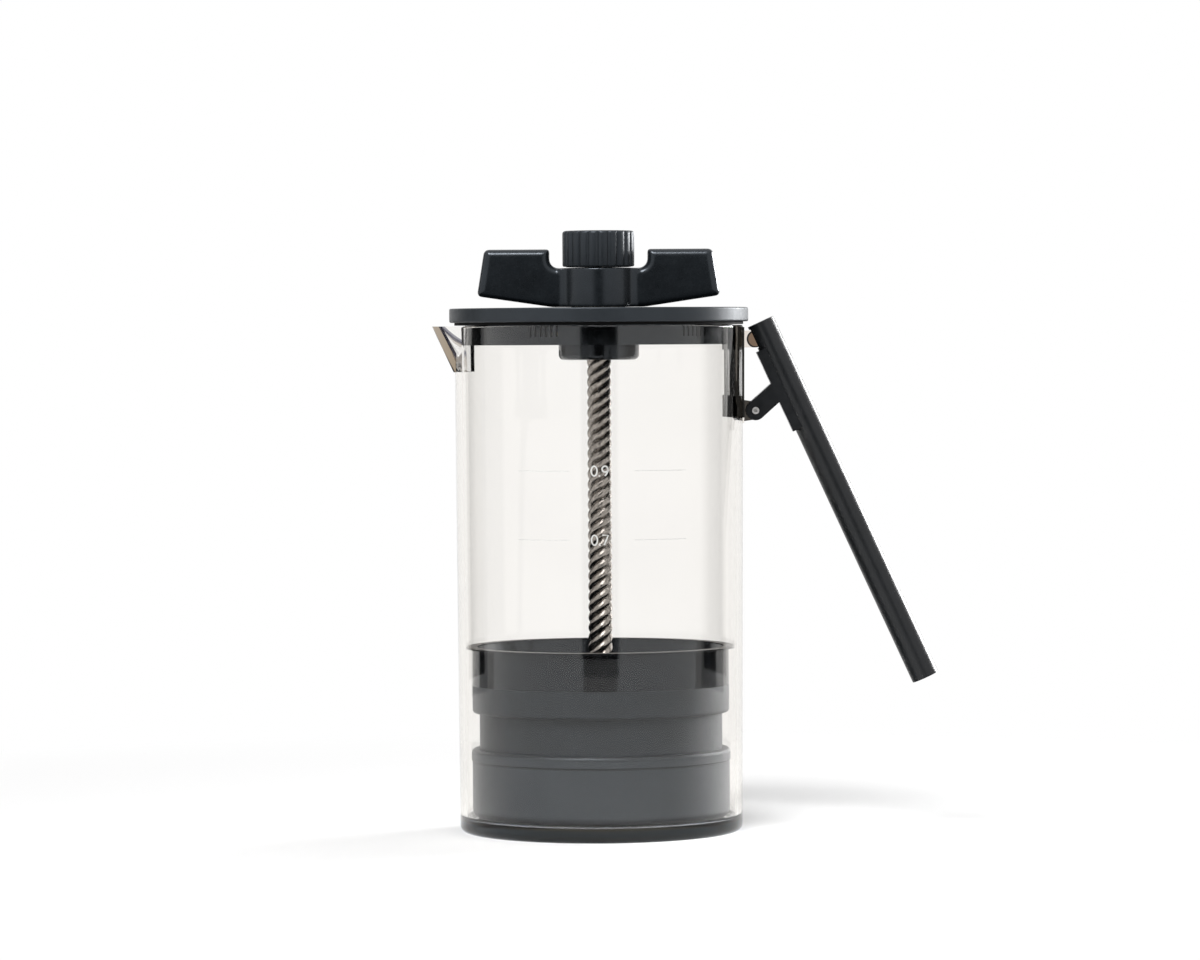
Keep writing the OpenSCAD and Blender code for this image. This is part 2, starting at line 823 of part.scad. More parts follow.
module lead_screw() {
  foot_z0 = spider_z0 - foot_nut_t - 1;
  color(steel)
    difference() {
      union() {
        thread(screw_r, spider_hub_z1, thread_z1);
        translate([0, 0, foot_z0]) cylinder(r = journal_r, h = screw_top - foot_z0);
      }
      ring(journal_r + cut, clip_groove_r, clip_z0 - slip_gap, clip_z0 + clip_t + slip_gap);
    }
}

module foot_nut() {
  color(steel)
    difference() {
      translate([0, 0, spider_z0 - foot_nut_t]) cylinder(r = foot_nut_r, h = foot_nut_t, $fn = 6);
      translate([0, 0, spider_z0 - foot_nut_t - cut]) cylinder(r = journal_r + seat_gap, h = foot_nut_t + 2 * cut);
    }
}

module piston_body() {
  arm_x0 = (journal_r + spider_hub_r) / 2;
  e = ring_edge_r;
  color(black)
    difference() {
      union() {
        rotate_extrude()
          polygon(concat(
            [
              [neck_bore_r, neck_z0],
              [neck_r, neck_z0],
              [neck_r, ring_z0]
            ],
            arc(ring_r - e, ring_z0 + e, e, -90, 0, 4),
            [
              [ring_r, seal_z0],
              [seal_seat_r, seal_z0],
              [seal_seat_r, rim_z],
              [mouth_r, rim_z],
              [brew_r, rim_z - mouth_drop],
              [brew_r, ring_z0 + neck_wall],
              [neck_bore_r, ring_z0]
            ]
          ));
        translate([0, 0, spider_z0]) cylinder(r = spider_hub_r, h = spider_hub_z1 - spider_z0);
        for (i = [0 : spider_arms - 1])
          rotate([0, 0, 90 + i * 360 / spider_arms])
            translate([arm_x0, -spider_arm_w / 2, spider_z0])
              cube([neck_r - neck_wall / 2 - arm_x0, spider_arm_w, spider_t]);
      }
      translate([0, 0, spider_z0 - cut]) cylinder(r = journal_r + seat_gap, h = ring_h);
      ring(neck_r + cut, cord_seat_r - seat_gap, cord_z - cord_r - seat_gap, cord_z + cord_r + seat_gap);
    }
}

module piston_seal() {
  color(soft_black)
    rotate_extrude()
      polygon([
        [seal_seat_r + seat_gap, seal_z0 + seat_gap],
        [ring_r, seal_z0 + seat_gap],
        [ring_r, rim_z - seal_lip_t],
        [seal_lip_r, rim_z],
        [seal_lip_r, ring_z1],
        [mouth_r, ring_z1],
        [mouth_r, rim_z + seat_gap],
        [seal_seat_r + seat_gap, rim_z + seat_gap]
      ]);
}

module filter_cup() {
  e = cup_edge_r;
  band = 0.3;
  color(black)
    difference() {
      rotate_extrude()
        polygon(concat(
          [[cup_open_r, cup_z0]],
          arc(cup_r - e, cup_z0 + e, e, -90, 0),
          [
            [cup_r, cup_z1 - cup_band_h - band],
            [cup_r + band, cup_z1 - cup_band_h]
          ],
          arc(cup_r + band - cup_lip_r, cup_z1 - cup_lip_r, cup_lip_r, 0, 90, 4),
          [[cup_open_r, cup_z1]]
        ));
      translate([0, 0, cup_floor_z1]) cylinder(r = cup_bore_r, h = cup_h);
    }
}

module cup_ring() {
  color(soft_black)
    rotate_extrude()
      translate([cord_seat_r + cord_r, cord_z]) circle(r = cord_r, $fn = small_fn);
}

module filter_mesh() {
  step = (cup_open_r - 2 * mesh_hole_r) / mesh_rings;
  color(steel)
    difference() {
      translate([0, 0, cup_floor_z1]) cylinder(r = mesh_r, h = mesh_t);
      for (k = [1 : mesh_rings])
        for (i = [0 : 6 * k - 1])
          rotate([0, 0, i * 60 / k])
            translate([k * step, 0, cup_floor_z1 - cut])
              cylinder(r = mesh_hole_r, h = mesh_t + 2 * cut, $fn = small_fn);
    }
}

module filter_clamp() {
  color(soft_black) ring(mesh_r, cup_open_r, cup_floor_z1 + mesh_t, cup_floor_z1 + mesh_t + clamp_t);
}

carafe();
handle_rod();
handle_top_cap();
handle_bottom_cap();
handle_arm();
arm_screws();
hinge_pin();
hinge_washers();
lid_cover();
lid_gasket();
lid_skirt();
lid_collar();
lid_bush();
lid_screws();
thrust_washer();
wing_handle();
drive_nut();
retaining_ring();
knob();
knob_bush();
knob_clip();
knob_cap();
lead_screw();
foot_nut();
piston_body();
piston_seal();
filter_cup();
cup_ring();
filter_mesh();
filter_clamp();
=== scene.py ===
import json
import math

import bmesh
import bpy
from mathutils import Matrix, Vector


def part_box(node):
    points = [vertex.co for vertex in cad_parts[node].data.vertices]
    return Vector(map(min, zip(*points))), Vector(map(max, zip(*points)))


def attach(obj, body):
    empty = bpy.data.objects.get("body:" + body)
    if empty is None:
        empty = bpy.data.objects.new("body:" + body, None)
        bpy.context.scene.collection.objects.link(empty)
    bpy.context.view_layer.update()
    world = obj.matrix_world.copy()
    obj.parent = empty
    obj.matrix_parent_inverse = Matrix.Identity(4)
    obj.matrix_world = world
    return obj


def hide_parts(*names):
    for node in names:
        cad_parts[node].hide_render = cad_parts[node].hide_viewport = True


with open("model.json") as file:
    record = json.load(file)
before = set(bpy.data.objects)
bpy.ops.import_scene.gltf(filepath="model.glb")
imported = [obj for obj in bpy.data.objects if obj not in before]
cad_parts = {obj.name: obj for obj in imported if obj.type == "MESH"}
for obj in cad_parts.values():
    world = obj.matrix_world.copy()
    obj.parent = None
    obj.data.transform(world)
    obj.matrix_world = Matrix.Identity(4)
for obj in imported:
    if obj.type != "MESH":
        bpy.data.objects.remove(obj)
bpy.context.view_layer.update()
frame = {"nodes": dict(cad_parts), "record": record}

scene = bpy.context.scene
MM = 0.001


# Meshes, in millimetres


def box_mm(node):
    """Lowest and highest corner of a CAD node."""
    low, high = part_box(node)
    return low / MM, high / MM


def add_mesh(name, verts, faces):
    """New object from vertices and faces, with its faces turned outwards."""
    mesh = bpy.data.meshes.new(name)
    mesh.from_pydata([Vector(v) * MM for v in verts], [], faces)
    work = bmesh.new()
    work.from_mesh(mesh)
    bmesh.ops.recalc_face_normals(work, faces=work.faces)
    work.to_mesh(mesh)
    work.free()
    obj = bpy.data.objects.new(name, mesh)
    scene.collection.objects.link(obj)
    return obj


def smooth(obj, angle=20):
    """Smooth shading, with edges sharper than the angle kept sharp."""
    mesh = obj.data
    mesh.polygons.foreach_set("use_smooth", [True] * len(mesh.polygons))
    mesh.set_sharp_from_angle(angle=math.radians(angle))
    return obj


def skin(name, rings, closed=False):
    """Mesh over rings of equal length. Its ends are capped or, in a closed run, joined to each other."""
    count = len(rings[0])
    verts = [point for ring in rings for point in ring]
    faces = []
    for k in range(len(rings) if closed else len(rings) - 1):
        low = k * count
        high = (k + 1) % len(rings) * count
        for i in range(count):
            j = (i + 1) % count
            faces.append((low + i, low + j, high + j, high + i))
    if not closed:
        faces.append(range(count))
        faces.append(range(len(verts) - count, len(verts)))
    return add_mesh(name, verts, faces)


def circle(radius, z, count, turn=0.0):
    """Points of a level circle about the axis."""
    angles = [turn + 2 * math.pi * i / count for i in range(count)]
    return [(radius * math.cos(a), radius * math.sin(a), z) for a in angles]


def lathe(name, profile, segments):
    """Solid of revolution about Z from (radius, height) points, capped at both ends."""
    return skin(name, [circle(r, z, segments) for r, z in profile])


def plate(name, outline, half):
    """Outline in the XZ plane, made solid to both sides of Y = 0."""
    return skin(name, [[(x, y, z) for x, z in outline] for y in (-half, half)])


def hull(name, points):
    """Convex solid round a set of points."""
    work = bmesh.new()
    for point in points:
        work.verts.new(Vector(point))
    made = bmesh.ops.convex_hull(work, input=work.verts)
    spare = {g for g in made["geom_interior"] + made["geom_unused"] if isinstance(g, bmesh.types.BMVert)}
    bmesh.ops.delete(work, geom=list(spare), context="VERTS")
    work.verts.index_update()
    verts = [v.co.copy() for v in work.verts]
    faces = [[v.index for v in f.verts] for f in work.faces]
    work.free()
    return add_mesh(name, verts, faces)


def arc(x, z, radius, start, end, steps=10):
    """Points of an arc, by angles in degrees."""
    angles = [math.radians(start + (end - start) * i / steps) for i in range(steps + 1)]
    return [(x + radius * math.cos(a), z + radius * math.sin(a)) for a in angles]


def rounded(corners, steps=8):
    """Outline with its corners rounded. Each corner is (x, z, radius)."""
    outline = []
    for n, (x, z, radius) in enumerate(corners):
        here = Vector((x, z))
        before = (Vector(corners[n - 1][:2]) - here).normalized()
        after = (Vector(corners[(n + 1) % len(corners)][:2]) - here).normalized()
        half = before.angle(after) / 2
        reach = radius / math.tan(half)
        centre = here + (before + after).normalized() * radius / math.sin(half)
        start = here + before * reach - centre
        turn = start.angle_signed(here + after * reach - centre)
        for i in range(steps + 1):
            outline.append(tuple(centre + Matrix.Rotation(-turn * i / steps, 2) @ start))
    return outline


def bake_modifiers(obj):
    """Applies an object's modifiers to its mesh."""
    bpy.context.view_layer.update()
    graph = bpy.context.evaluated_depsgraph_get()
    made = bpy.data.meshes.new_from_object(obj.evaluated_get(graph))
    obj.modifiers.clear()
    obj.data = made
    return obj


def combine(target, tool, operation):
    """Applies a boolean between two meshes and removes the tool."""
    modifier = target.modifiers.new("combine", "BOOLEAN")
    modifier.object = tool
    modifier.operation = operation
    modifier.solver = "EXACT"
    bake_modifiers(target)
    bpy.data.objects.remove(tool)


def soften(obj, voxel, rounds):
    """Melts a solid's edges into the even fillets of a moulding."""
    remesh = obj.modifiers.new("remesh", "REMESH")
    remesh.mode = "VOXEL"
    remesh.voxel_size = voxel * MM
    relax = obj.modifiers.new("relax", "SMOOTH")
    relax.factor = 0.5
    relax.iterations = rounds
    return bake_modifiers(obj)


# Shader nodes, in metres

NOISE_ROUGHNESS = 0.55


def principled(name, **values):
    """New material whose shader has these constant socket values."""
    material = bpy.data.materials.new(name)
    material.use_nodes = True
    tree = material.node_tree
    shader = tree.nodes["Principled BSDF"]
    for socket, value in values.items():
        shader.inputs[socket.replace("_", " ")].default_value = value
    return material, tree, shader


def noise(tree, size, detail=4.0, stretch=(1, 1, 1)):
    """Noise of about this feature size. The stretch lengthens it along an axis."""
    coordinates = tree.nodes.new("ShaderNodeTexCoord")
    mapping = tree.nodes.new("ShaderNodeMapping")
    mapping.inputs["Scale"].default_value = [1 / s for s in stretch]
    texture = tree.nodes.new("ShaderNodeTexNoise")
    texture.inputs["Scale"].default_value = 1 / size
    texture.inputs["Detail"].default_value = detail
    texture.inputs["Roughness"].default_value = NOISE_ROUGHNESS
    tree.links.new(coordinates.outputs["Object"], mapping.inputs["Vector"])
    tree.links.new(mapping.outputs["Vector"], texture.inputs["Vector"])
    return texture.outputs["Fac"]


def math_node(tree, operation, first, second=None):
    """Math node on a value and a second value or constant."""
    node = tree.nodes.new("ShaderNodeMath")
    node.operation = operation
    tree.links.new(first, node.inputs[0])
    if isinstance(second, (int, float)):
        node.inputs[1].default_value = second
    elif second is not None:
        tree.links.new(second, node.inputs[1])
    return node.outputs["Value"]


def axis_value(tree, axis):
    """Place along one axis."""
    coordinates = tree.nodes.new("ShaderNodeTexCoord")
    axes = tree.nodes.new("ShaderNodeSeparateXYZ")
    tree.links.new(coordinates.outputs["Object"], axes.inputs["Vector"])
    return axes.outputs[axis]


def height(tree):
    """Place along Z."""
    return axis_value(tree, "Z")


def distance(tree, first, second):
    """Length of two values taken at right angles."""
    squares = [math_node(tree, "POWER", value, 2) for value in (first, second)]
    return math_node(tree, "SQRT", math_node(tree, "ADD", *squares))


def axis_distance(tree):
    """Distance from the Z axis."""
    return distance(tree, axis_value(tree, "X"), axis_value(tree, "Y"))


def within(tree, value, low, high):
    """1 where a value lies between two bounds, else 0."""
    node = tree.nodes.new("ShaderNodeMath")
    node.operation = "COMPARE"
    node.inputs[1].default_value = (low + high) / 2
    node.inputs[2].default_value = (high - low) / 2
    tree.links.new(value, node.inputs[0])
    return node.outputs["Value"]


def chained(tree, operation, values):
    """Runs a math operation through a row of values."""
    whole, *rest = values
    for value in rest:
        whole = math_node(tree, operation, whole, value)
    return whole


def all_of(tree, *masks):
    """1 where every mask is 1."""
    return chained(tree, "MULTIPLY", masks)


def any_of(tree, *masks):
    """1 where one of the masks is 1."""
    return chained(tree, "MAXIMUM", masks)


def spread(tree, value, low, high, start=0.3, end=0.7):
    """Maps a value to a range. The default ends are where most of a noise lies."""
    node = tree.nodes.new("ShaderNodeMapRange")
    node.inputs["From Min"].default_value = start
    node.inputs["From Max"].default_value = end
    node.inputs["To Min"].default_value = low
    node.inputs["To Max"].default_value = high
    tree.links.new(value, node.inputs["Value"])
    return node.outputs["Result"]


def blend_colours(tree, value, first, second, start=0.35, end=0.65):
    """Colour ramp between two linear colours."""
    node = tree.nodes.new("ShaderNodeValToRGB")
    low, high = node.color_ramp.elements
    low.position, high.position = start, end
    low.color, high.color = (*first, 1), (*second, 1)
    tree.links.new(value, node.inputs["Fac"])
    return node.outputs["Color"]


def tinted(tree, colour, mask, tint):
    """Colour that gives way to a tint where the mask is 1."""
    # The mix node repeats its socket names for each data type, so these go by number
    node = tree.nodes.new("ShaderNodeMix")
    node.data_type = "RGBA"
    tree.links.new(mask, node.inputs[0])
    tree.links.new(colour, node.inputs[6])
    node.inputs[7].default_value = (*tint, 1)
    return node.outputs[2]


def bump(tree, shader, relief, depth):
    """Bump of this depth on the shader's normal."""
    node = tree.nodes.new("ShaderNodeBump")
    node.inputs["Distance"].default_value = depth
    node.inputs["Strength"].default_value = 1.0
    tree.links.new(relief, node.inputs["Height"])
    tree.links.new(node.outputs["Normal"], shader.inputs["Normal"])


# Opaque plastics, rubber, ink and metals

PLASTIC_IOR = 1.46
MOTTLE = 6 * MM
GLOSS_PATCH = 2.5 * MM
# Black plastic mirrors the studio a little cooler than it is
COOL_SHEEN = (0.82, 0.90, 1.0)
NEUTRAL_SHEEN = (0.84, 0.84, 0.85)
# Sheen cut down as painted shade
PAINTED_SHADE_SHEEN = (0.3, 0.3, 0.3)
# Colour of polished skins; on the plunger's ring it is also painted shade
POLISH_AND_SHADE_COLOUR = (0.005, 0.006, 0.007)
POLISH_SHARE = 0.25
SKIRT_SKIN = 0.3 * MM
# Painted shade in the cup's groove and lines and on its top edge
GROOVE_SHADE_COLOUR = (0.004, 0.005, 0.006)
SOFT_LINE_SHADE_COLOUR = (0.016, 0.019, 0.022)
SEAL_LIP = 0.1 * MM
# Tan of the seal's lip is a painted highlight
SEAL_LIP_HIGHLIGHT_COLOUR = (0.03, 0.025, 0.02)
SEAL_LIP_SHARE = 8


def moulded(name, first, second, rough, grain, depth, zone=None, lines=(), sheen=COOL_SHEEN):
    """Opaque moulded plastic or rubber: mottled colour, uneven gloss and a fine spark-eroded grain.

    The zone is a place function, a limit, and the colour and share of the roughness beyond it.
    Each line is a band of heights with its own colour, used here for painted shade.
    """
    material, tree, shader = principled(name, IOR=PLASTIC_IOR, Specular_Tint=(*sheen, 1))
    colour = blend_colours(tree, noise(tree, MOTTLE), first, second)
    gloss = spread(tree, noise(tree, GLOSS_PATCH), *rough)
    if zone is not None:
        place, limit, other, share = zone
        beyond = math_node(tree, "GREATER_THAN", place(tree), limit)
        colour = tinted(tree, colour, beyond, other)
        gloss = math_node(tree, "MULTIPLY", gloss, spread(tree, beyond, 1, share, 0, 1))
    for low, high, other in lines:
        colour = tinted(tree, colour, within(tree, height(tree), low, high), other)
    tree.links.new(colour, shader.inputs["Base Color"])
    tree.links.new(gloss, shader.inputs["Roughness"])
    bump(tree, shader, noise(tree, grain, detail=2.0), depth)
    return material


def metal(name, first, second, rough, streak, stretch, depth):
    """Metal with streaks left by rolling, turning or brushing."""
    material, tree, shader = principled(name, Metallic=1.0)
    streaks = noise(tree, streak, detail=3.0, stretch=stretch)
    tree.links.new(blend_colours(tree, streaks, first, second), shader.inputs["Base Color"])
    tree.links.new(spread(tree, streaks, *rough), shader.inputs["Roughness"])
    bump(tree, shader, streaks, depth)
    return material


satin_black = moulded(
    "satin_black", (0.0088, 0.0107, 0.0127), (0.0117, 0.0143, 0.0167), (0.24, 0.3), 0.25 * MM, 0.0001 * MM
)
lid_black = moulded(
    "lid_black", (0.011, 0.0135, 0.016), (0.014, 0.017, 0.020), (0.4, 0.48), 0.25 * MM, 0.0002 * MM
)
polished_black = moulded(
    "polished_black", (0.004, 0.0048, 0.0056), (0.006, 0.0072, 0.0084), (0.13, 0.18), 0.4 * MM, 0.0003 * MM
)
# The gasket is black rubber, made almost black with its sheen cut down as painted shade under the lid's edge
gasket_black = moulded(
    "gasket_black", (0.001, 0.001, 0.001), (0.002, 0.002, 0.002), (0.7, 0.8), 0.4 * MM, 0.0003 * MM,
    sheen=PAINTED_SHADE_SHEEN,
)
# The skirt's outer skin is polished and the slots in it are dull
skirt_black = moulded(
    "skirt_black", (0.002, 0.002, 0.002), (0.003, 0.003, 0.003), (0.56, 0.7), 0.4 * MM, 0.0003 * MM,
    zone=(axis_distance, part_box("lid_skirt")[1].x - SKIRT_SKIN, POLISH_AND_SHADE_COLOUR, POLISH_SHARE),
)
# The cup's lip ends in a groove below, and a soft line and a dark edge run round its top: all painted shade,
# the edge darkened to dim its highlight
cup_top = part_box("filter_cup")[1].z
plunger_black = moulded(
    "plunger_black", (0.0230, 0.0267, 0.0310), (0.0267, 0.0310, 0.0360), (0.42, 0.5), 0.25 * MM, 0.0001 * MM,
    lines=(
        (cup_top - 4.8 * MM, cup_top - 4.0 * MM, GROOVE_SHADE_COLOUR),
        (cup_top - 1.7 * MM, cup_top - 1.1 * MM, SOFT_LINE_SHADE_COLOUR),
        (cup_top - 0.9 * MM, cup_top + 0.1 * MM, GROOVE_SHADE_COLOUR),
    ),
)
# The plunger's ring is polished above the foot of the seal, and painted darker there as the shade inside its
# mouth
seal_low, seal_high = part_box("piston_seal")
piston_black = moulded(
    "piston_black", (0.0092, 0.0110, 0.0130), (0.0110, 0.0130, 0.0152), (0.42, 0.5), 0.25 * MM, 0.0001 * MM,
    zone=(height, seal_low.z, POLISH_AND_SHADE_COLOUR, POLISH_SHARE),
)
# The seal is glossy and its lip dull, coloured tan as a painted highlight along the rim
silicone = moulded(
    "silicone", (0.0035, 0.004, 0.005), (0.005, 0.006, 0.007), (0.05, 0.08), 0.4 * MM, 0.0001 * MM,
    zone=(height, seal_high.z - SEAL_LIP, SEAL_LIP_HIGHLIGHT_COLOUR, SEAL_LIP_SHARE),
)
anodised = moulded(
    "anodised", (0.008, 0.009, 0.010), (0.010, 0.011, 0.0125), (0.28, 0.36), 0.2 * MM, 0.0005 * MM,
    sheen=NEUTRAL_SHEEN,
)
white_ink = moulded(
    "white_ink", (0.66, 0.66, 0.64), (0.72, 0.72, 0.70), (0.45, 0.55), 0.2 * MM, 0.003 * MM
)
rolled_steel = metal(
    "rolled_steel", (0.27, 0.25, 0.23), (0.40, 0.37, 0.345), (0.16, 0.26), 0.5 * MM, (2, 2, 5), 0.0015 * MM
)
bright_steel = metal(
    "bright_steel", (0.55, 0.54, 0.53), (0.68, 0.67, 0.66), (0.22, 0.36), 0.3 * MM, (6, 6, 1), 0.004 * MM
)
rivet_steel = metal(
    "rivet_steel", (0.48, 0.47, 0.46), (0.58, 0.57, 0.56), (0.45, 0.55), 0.3 * MM, (6, 6, 1), 0.002 * MM
)
turned_brass = metal(
    "turned_brass", (0.62, 0.45, 0.18), (0.75, 0.58, 0.28), (0.25, 0.4), 0.3 * MM, (6, 6, 1), 0.004 * MM
)

# Clear plastic of the carafe

SMOKE_TINT = (0.60, 0.45, 0.20, 1)
SMOKE_DENSITY = 24.0
CLOUD = 40 * MM
CLOUD_COLOURS = ((0.985, 0.985, 0.985), (1, 1, 1))
CLEAR_ROUGH = (0.0, 0.03)
CLEAR_GLOSS_PATCH = 9 * MM
FLOW_WAVE = 30 * MM
FLOW_STRETCH = (1, 1, 3)
FLOW_DEPTH = 0.02 * MM
CLEAR_SHEEN = (0.5, 0.5, 0.5, 1)
CLEAR_IOR = 1.5
# Thick places are seen through their whole width, so they are tinted deep and bend light little; so do the
# places with painted dark refractions
THICK_OR_PAINTED_IOR = 1.03
# Painted shade at the carafe's foot; the base band is dark partly from its smoke and partly as painted shade
BASE_SHADE_TINT = (0.055, 0.094, 0.185)
BASE_BAND = (0.4 * MM, 4.6 * MM)
FOOT_SHADE_TINT = (0.20, 0.21, 0.23)
FOOT_BAND = (-0.5 * MM, 5.9 * MM)
FOOT_RING = (44 * MM, 53 * MM)
FILLET_SHADE_TINT = (0.16, 0.165, 0.17)
FILLET_BAND = (5 * MM, 6.7 * MM)
FILLET_RING = (46 * MM, 49.6 * MM)
# Painted dark refraction of the black handle arm, seen in the wall round the lug
HANDLE_REFRACTION_TINT = (0.02, 0.02, 0.02)
HANDLE_REFRACTION_REACH = (48.6 * MM, 53.4 * MM)
HANDLE_REFRACTION_BLOCKS = ((151.7 * MM, 159.8 * MM), (176.6 * MM, 190 * MM))
HANDLE_REFRACTION_LEGS = ((49.3 * MM, 51.2 * MM), (52.7 * MM, 53.4 * MM))
LUG_REACH = (53.4 * MM, 80 * MM)
LUG_SPLIT = 165 * MM
# Painted dark refraction of the handle in the hinge ear
EAR_REFRACTION_TINT = (0.06, 0.055, 0.05)
BOSS_TINT = (0.80, 0.75, 0.71)
BOSS_CENTRE = (57.6 * MM, 180.5 * MM)
BOSS_CORE = (-1 * MM, 2.7 * MM)
BOSS_CORE_TINT = (0.20, 0.14, 0.10)
# Painted dark refraction round the boss's edge
BOSS_LINE = (2.7 * MM, 3.25 * MM)
BOSS_EDGE_REFRACTION_TINT = (0.02, 0.02, 0.02)
SPOUT_TINT = (0.49, 0.45, 0.41)
SPOUT_CORE = (-0.5 * MM, 2.5 * MM)
# Painted dark refraction along the channel's edge
CHANNEL_REFRACTION_TINT = (0.1, 0.1, 0.13)
CHANNEL_EDGE = (2.5 * MM, 3.7 * MM)
SPOUT_SLOPE = 0.55
SPOUT_LOW = 169 * MM
SPOUT_ROOT = -51.9 * MM
SPOUT_FACING = 0.4


def foot_shade_masks(tree, z):
    """Foot of the wall, the base band in it and the fillet round the floor, where shade is painted on."""
    radius = axis_distance(tree)
    foot = all_of(tree, within(tree, z, *FOOT_BAND), within(tree, radius, *FOOT_RING))
    base = within(tree, z, *BASE_BAND)
    fillet = all_of(tree, within(tree, z, *FILLET_BAND), within(tree, radius, *FILLET_RING))
    return foot, base, fillet


def handle_refraction_mask(tree, x, z):
    """Painted dark refraction of the black handle round the hinge lug: two blocks and the legs between them.
    """
    blocks = any_of(tree, *(within(tree, z, *block) for block in HANDLE_REFRACTION_BLOCKS))
    between = within(tree, z, HANDLE_REFRACTION_BLOCKS[0][1], HANDLE_REFRACTION_BLOCKS[1][0])
    legs = any_of(tree, *(within(tree, x, *leg) for leg in HANDLE_REFRACTION_LEGS))
    whole = any_of(tree, blocks, all_of(tree, between, legs))
    return all_of(tree, whole, within(tree, x, *HANDLE_REFRACTION_REACH))


def lug_masks(tree, x, z):
    """Hinge ear, stop boss, and the boss's round core with the line about it. The ear and the line carry
    painted dark refractions.
    """
    lug = within(tree, x, *LUG_REACH)
    ear = all_of(tree, lug, math_node(tree, "LESS_THAN", z, LUG_SPLIT))
    boss = all_of(tree, lug, math_node(tree, "GREATER_THAN", z, LUG_SPLIT))
    sides = [math_node(tree, "SUBTRACT", v, middle) for v, middle in zip((x, z), BOSS_CENTRE)]
    away = distance(tree, *sides)
    core, line = (all_of(tree, boss, within(tree, away, *band)) for band in (BOSS_CORE, BOSS_LINE))
    return ear, boss, core, line


def spout_masks(tree, x, z):
    """Core of the spout's sloping front wall, and the channel's edge behind it, where a dark refraction is
    painted.
    """
    low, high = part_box("carafe")
    geometry = tree.nodes.new("ShaderNodeNewGeometry")
    facing = tree.nodes.new("ShaderNodeSeparateXYZ")
    tree.links.new(geometry.outputs["Normal"], facing.inputs["Vector"])
    across = math_node(tree, "ABSOLUTE", facing.outputs["Y"])
    sideways = math_node(tree, "GREATER_THAN", across, SPOUT_FACING)
    lean = math_node(tree, "MULTIPLY", math_node(tree, "SUBTRACT", z, high.z), SPOUT_SLOPE)
    depth = math_node(tree, "SUBTRACT", math_node(tree, "ADD", x, lean), low.x)
    above = math_node(tree, "GREATER_THAN", z, SPOUT_LOW)
    outside = math_node(tree, "LESS_THAN", x, SPOUT_ROOT)
    bands = [within(tree, depth, *band) for band in (SPOUT_CORE, CHANNEL_EDGE)]
    return [all_of(tree, band, sideways, above, outside) for band in bands]


def smoky_plastic():
    """Grey-brown clear plastic, slight flow waves, uneven polish; painted shade and refractions at foot, lug
    and spout.
    """
    material, tree, shader = principled("smoky_plastic", Transmission_Weight=1.0, Specular_Tint=CLEAR_SHEEN)
    x, z = (axis_value(tree, axis) for axis in "XZ")
    foot, base, fillet = foot_shade_masks(tree, z)
    handle_refraction = handle_refraction_mask(tree, x, z)
    ear, boss, boss_core, boss_line = lug_masks(tree, x, z)
    spout_core, channel = spout_masks(tree, x, z)
    colour = blend_colours(tree, noise(tree, CLOUD), *CLOUD_COLOURS)
    # Tints of the smoke, with painted shade at the foot and painted dark refractions at the lug and spout
    for mask, tint in (
        (foot, FOOT_SHADE_TINT),
        (base, BASE_SHADE_TINT),
        (fillet, FILLET_SHADE_TINT),
        (handle_refraction, HANDLE_REFRACTION_TINT),
        (boss, BOSS_TINT),
        (boss_core, BOSS_CORE_TINT),
        (boss_line, BOSS_EDGE_REFRACTION_TINT),
        (ear, EAR_REFRACTION_TINT),
        (spout_core, SPOUT_TINT),
        (channel, CHANNEL_REFRACTION_TINT),
    ):
        colour = tinted(tree, colour, mask, tint)
    thick_or_painted = any_of(tree, handle_refraction, boss, ear, spout_core, channel)
    tree.links.new(colour, shader.inputs["Base Color"])
    tree.links.new(spread(tree, thick_or_painted, CLEAR_IOR, THICK_OR_PAINTED_IOR, 0, 1), shader.inputs["IOR"])
    tree.links.new(spread(tree, noise(tree, CLEAR_GLOSS_PATCH), *CLEAR_ROUGH), shader.inputs["Roughness"])
    bump(tree, shader, noise(tree, FLOW_WAVE, detail=1.0, stretch=FLOW_STRETCH), FLOW_DEPTH)
    absorption = tree.nodes.new("ShaderNodeVolumeAbsorption")
    absorption.inputs["Color"].default_value = SMOKE_TINT
    absorption.inputs["Density"].default_value = SMOKE_DENSITY
    tree.links.new(absorption.outputs["Volume"], tree.nodes["Material Output"].inputs["Volume"])
    return material


# Finish of every node, by its material slot or its own

FINISHES = {
    "smoke": smoky_plastic(),
    "black_plastic": satin_black,
    "silicone": silicone,
    "black_metal": anodised,
    "steel": bright_steel,
    "brass": turned_brass,
}
OWN_FINISHES = {
    "lid_cover": lid_black,
    "lid_gasket": gasket_black,
    "knob": lid_black,
    "lid_skirt": skirt_black,
    "lid_collar": polished_black,
    "piston_body": piston_black,
    "filter_cup": plunger_black,
    "lead_screw": rolled_steel,
    "hinge_pin": rivet_steel,
}
slots = {s["node"]: s["material_slot"] for s in frame["record"]["subparts"]}
body_of_node = {
    node: body for body, members in frame["record"]["behaviour"]["bodies"].items() for node in members
}


def dress(obj, material):
    """Gives an object one material."""
    obj.data.materials.clear()
    obj.data.materials.append(material)


def finish_of(node):
    """A node's own material, or else its slot's."""
    return OWN_FINISHES.get(node, FINISHES[slots[node]])


def stand_for(obj, node):
    """The piece takes a CAD node's place, body and finish."""
    dress(obj, finish_of(node))
    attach(obj, body_of_node[node])
    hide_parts(node)


for node_name, node_object in frame["nodes"].items():
    dress(node_object, finish_of(node_name))

# Carafe

SHELL_SEGMENTS = 256
WALL = 2.6
CARAFE_FLOOR = 5.2
BASE_R = 52.0
BASE_EDGE = 2.5
INNER_EDGE = 1.4
RIM_EDGE = 0.8
# Rings this far from the rounded edges keep the wall's shading true
EDGE_RING = 0.4
SPOUT_DEPTH = 16.7
SPOUT_W = 39.0
SPOUT_WALL = 2.4
